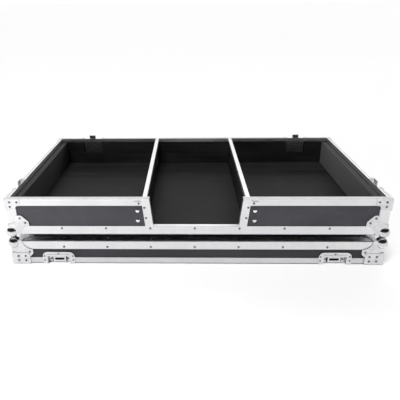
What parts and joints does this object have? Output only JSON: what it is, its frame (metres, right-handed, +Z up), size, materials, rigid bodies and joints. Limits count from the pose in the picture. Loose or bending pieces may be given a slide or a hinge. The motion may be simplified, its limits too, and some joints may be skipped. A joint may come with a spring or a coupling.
{
  "type": "dj coffin case",
  "caption": "Shallow flight case with lined bays for decks and a mixer, a front access opening, butterfly latches, ball corners and side handles, standing open on its lid",
  "frame": {"origin": "on the floor under the middle of the stack", "axes": "+X to the right along the case, +Y to the back, +Z up"},
  "size_m": [1.1078, 0.6178, 0.2248],
  "materials": {
    "laminate_ply": "satin",
    "aluminium_edging": "satin",
    "zinc_corners": "satin",
    "zinc_dishes": "satin",
    "steel_moving": "satin",
    "foam": "matte"
  },
  "bodies": {
    "lid": {"lid_top_panel": "laminate_ply", "lid_front_panel": "laminate_ply", "lid_back_panel": "laminate_ply", "lid_left_panel": "laminate_ply", "lid_right_panel": "laminate_ply", "lid_angle_frame": "aluminium_edging", "lid_rim_frame": "aluminium_edging", "lid_ball_corner_front_left": "zinc_corners", "lid_ball_corner_front_right": "zinc_corners", "lid_ball_corner_back_left": "zinc_corners", "lid_ball_corner_back_right": "zinc_corners", "lid_rim_brace_front_left": "zinc_corners", "lid_rim_brace_front_right": "zinc_corners", "lid_rim_brace_back_left": "zinc_corners", "lid_rim_brace_back_right": "zinc_corners", "latch_keeper_front_left": "zinc_dishes", "latch_keeper_front_right": "zinc_dishes", "latch_keeper_left": "zinc_dishes", "latch_keeper_right": "zinc_dishes"},
    "base": {"base_floor_panel": "laminate_ply", "base_front_panel_left": "laminate_ply", "base_front_panel_right": "laminate_ply", "base_back_panel": "laminate_ply", "base_left_panel": "laminate_ply", "base_right_panel": "laminate_ply", "base_angle_frame": "aluminium_edging", "base_rim_frame": "aluminium_edging", "opening_sill": "aluminium_edging", "base_ball_corner_front_left": "zinc_corners", "base_ball_corner_front_right": "zinc_corners", "base_ball_corner_back_left": "zinc_corners", "base_ball_corner_back_right": "zinc_corners", "base_rim_brace_front_left": "zinc_corners", "base_rim_brace_front_right": "zinc_corners", "base_rim_brace_back_left": "zinc_corners", "base_rim_brace_back_right": "zinc_corners", "opening_trim_left": "aluminium_edging", "opening_trim_right": "aluminium_edging", "bay_divider_left": "laminate_ply", "bay_divider_right": "laminate_ply", "divider_cap_left": "aluminium_edging", "divider_cap_right": "aluminium_edging", "deck_bay_foam_left": "foam", "deck_bay_foam_right": "foam", "handle_dish_left": "zinc_dishes", "handle_dish_right": "zinc_dishes", "latch_dish_back_left": "zinc_dishes", "latch_dish_back_right": "zinc_dishes", "latch_dish_left": "zinc_dishes", "latch_dish_right": "zinc_dishes"},
    "latch_wing_back_left": {"latch_wing_back_left": "steel_moving"},
    "latch_claw_back_left": {"latch_claw_back_left": "steel_moving"},
    "latch_wing_back_right": {"latch_wing_back_right": "steel_moving"},
    "latch_claw_back_right": {"latch_claw_back_right": "steel_moving"},
    "latch_wing_left": {"latch_wing_left": "steel_moving"},
    "latch_claw_left": {"latch_claw_left": "steel_moving"},
    "latch_wing_right": {"latch_wing_right": "steel_moving"},
    "latch_claw_right": {"latch_claw_right": "steel_moving"},
    "handle_bail_left": {"handle_bail_left": "steel_moving"},
    "handle_bail_right": {"handle_bail_right": "steel_moving"}
  },
  "joints": [
    {"name": "base_lift", "type": "slide", "parent": "lid", "child": "base", "axis": [0, 0, 1], "range_m": [0, 0.3]},
    {"name": "wing_turn_back_left", "type": "hinge", "parent": "base", "child": "latch_wing_back_left", "pos_m": [-0.407, 0.298, 0.1783], "axis": [0, 1, 0], "range_deg": [0, 180]},
    {"name": "claw_slide_back_left", "type": "slide", "parent": "base", "child": "latch_claw_back_left", "axis": [0, 0, 1], "range_m": [-0.006, 0]},
    {"name": "wing_turn_back_right", "type": "hinge", "parent": "base", "child": "latch_wing_back_right", "pos_m": [0.407, 0.298, 0.1783], "axis": [0, 1, 0], "range_deg": [0, 180]},
    {"name": "claw_slide_back_right", "type": "slide", "parent": "base", "child": "latch_claw_back_right", "axis": [0, 0, 1], "range_m": [-0.006, 0]},
    {"name": "wing_turn_left", "type": "hinge", "parent": "base", "child": "latch_wing_left", "pos_m": [-0.543, -0.185, 0.1783], "axis": [-1, 0, 0], "range_deg": [0, 180]},
    {"name": "claw_slide_left", "type": "slide", "parent": "base", "child": "latch_claw_left", "axis": [0, 0, 1], "range_m": [-0.006, 0]},
    {"name": "wing_turn_right", "type": "hinge", "parent": "base", "child": "latch_wing_right", "pos_m": [0.543, -0.185, 0.1783], "axis": [1, 0, 0], "range_deg": [0, 180]},
    {"name": "claw_slide_right", "type": "slide", "parent": "base", "child": "latch_claw_right", "axis": [0, 0, 1], "range_m": [-0.006, 0]},
    {"name": "bail_swing_left", "type": "hinge", "parent": "base", "child": "handle_bail_left", "pos_m": [-0.535, 0, 0.1749], "axis": [0, 1, 0], "range_deg": [0, 90], "stiffness_Nm_per_rad": 0.12, "springref_deg": -22.92},
    {"name": "bail_swing_right", "type": "hinge", "parent": "base", "child": "handle_bail_right", "pos_m": [0.535, 0, 0.1749], "axis": [0, -1, 0], "range_deg": [0, 90], "stiffness_Nm_per_rad": 0.12, "springref_deg": -22.92}
  ],
  "couplings": [
    {"joint": "claw_slide_back_left", "follows": "wing_turn_back_left", "m_per_rad": -0.0019099},
    {"joint": "claw_slide_back_right", "follows": "wing_turn_back_right", "m_per_rad": -0.0019099},
    {"joint": "claw_slide_left", "follows": "wing_turn_left", "m_per_rad": -0.0019099},
    {"joint": "claw_slide_right", "follows": "wing_turn_right", "m_per_rad": -0.0019099}
  ]
}
